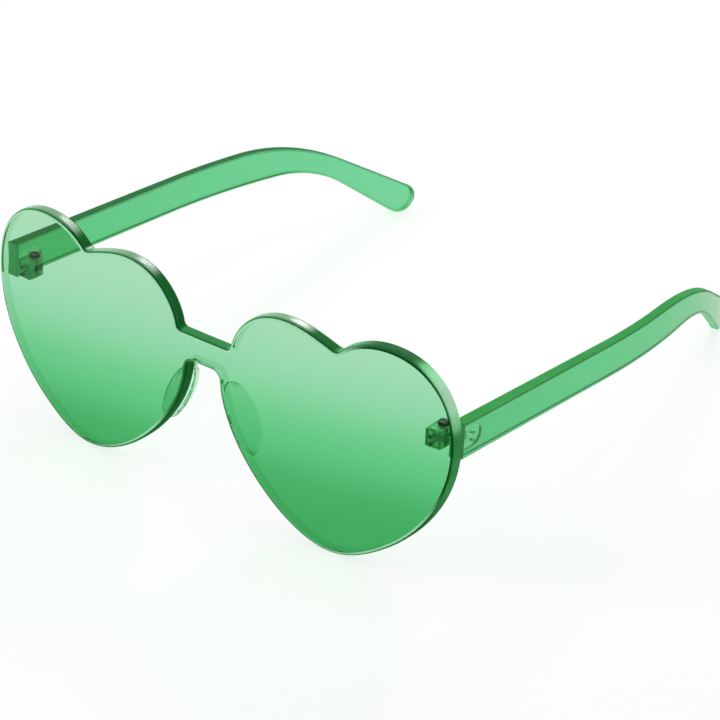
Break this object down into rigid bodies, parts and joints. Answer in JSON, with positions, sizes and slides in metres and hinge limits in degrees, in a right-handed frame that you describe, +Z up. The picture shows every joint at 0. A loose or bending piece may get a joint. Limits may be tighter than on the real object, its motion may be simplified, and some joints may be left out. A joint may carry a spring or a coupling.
{
  "type": "heart shaped sunglasses",
  "caption": "Rimless heart shaped sunglasses of clear tinted plastic: a slightly curved lens plate with nose pads, and folding temples on small screwed hinges.",
  "frame": {"origin": "on the floor under the middle of the open glasses, which rest on the heart tips and the ear tips", "axes": "+X to the wearer's left, +Y back along the temples, +Z up"},
  "size_m": [0.1442, 0.15, 0.0589],
  "materials": {
    "lens": "clear green, paler at the top",
    "temple": "clear green",
    "pad": "clear green",
    "hinge": "clear green",
    "metal": "darkened"
  },
  "bodies": {
    "front": {"lens_plate": "lens", "nose_pad_left": "pad", "nose_pad_right": "pad", "hinge_block_left": "hinge", "hinge_block_right": "hinge", "hinge_block_pins_left": "metal", "hinge_block_pins_right": "metal", "hinge_screw_left": "metal", "hinge_screw_right": "metal"},
    "left_temple": {"temple_left": "temple", "hinge_leaf_left": "hinge", "hinge_leaf_pins_left": "metal"},
    "right_temple": {"temple_right": "temple", "hinge_leaf_right": "hinge", "hinge_leaf_pins_right": "metal"}
  },
  "joints": [
    {"name": "left_temple_fold", "type": "hinge", "parent": "front", "child": "left_temple", "pos_m": [0.0646, -0.06234, 0.03789], "axis": [0, 0.0752, 0.9972], "range_deg": [0, 86]},
    {"name": "right_temple_fold", "type": "hinge", "parent": "front", "child": "right_temple", "pos_m": [-0.0646, -0.06234, 0.03789], "axis": [0, -0.0752, -0.9972], "range_deg": [0, 74]}
  ]
}
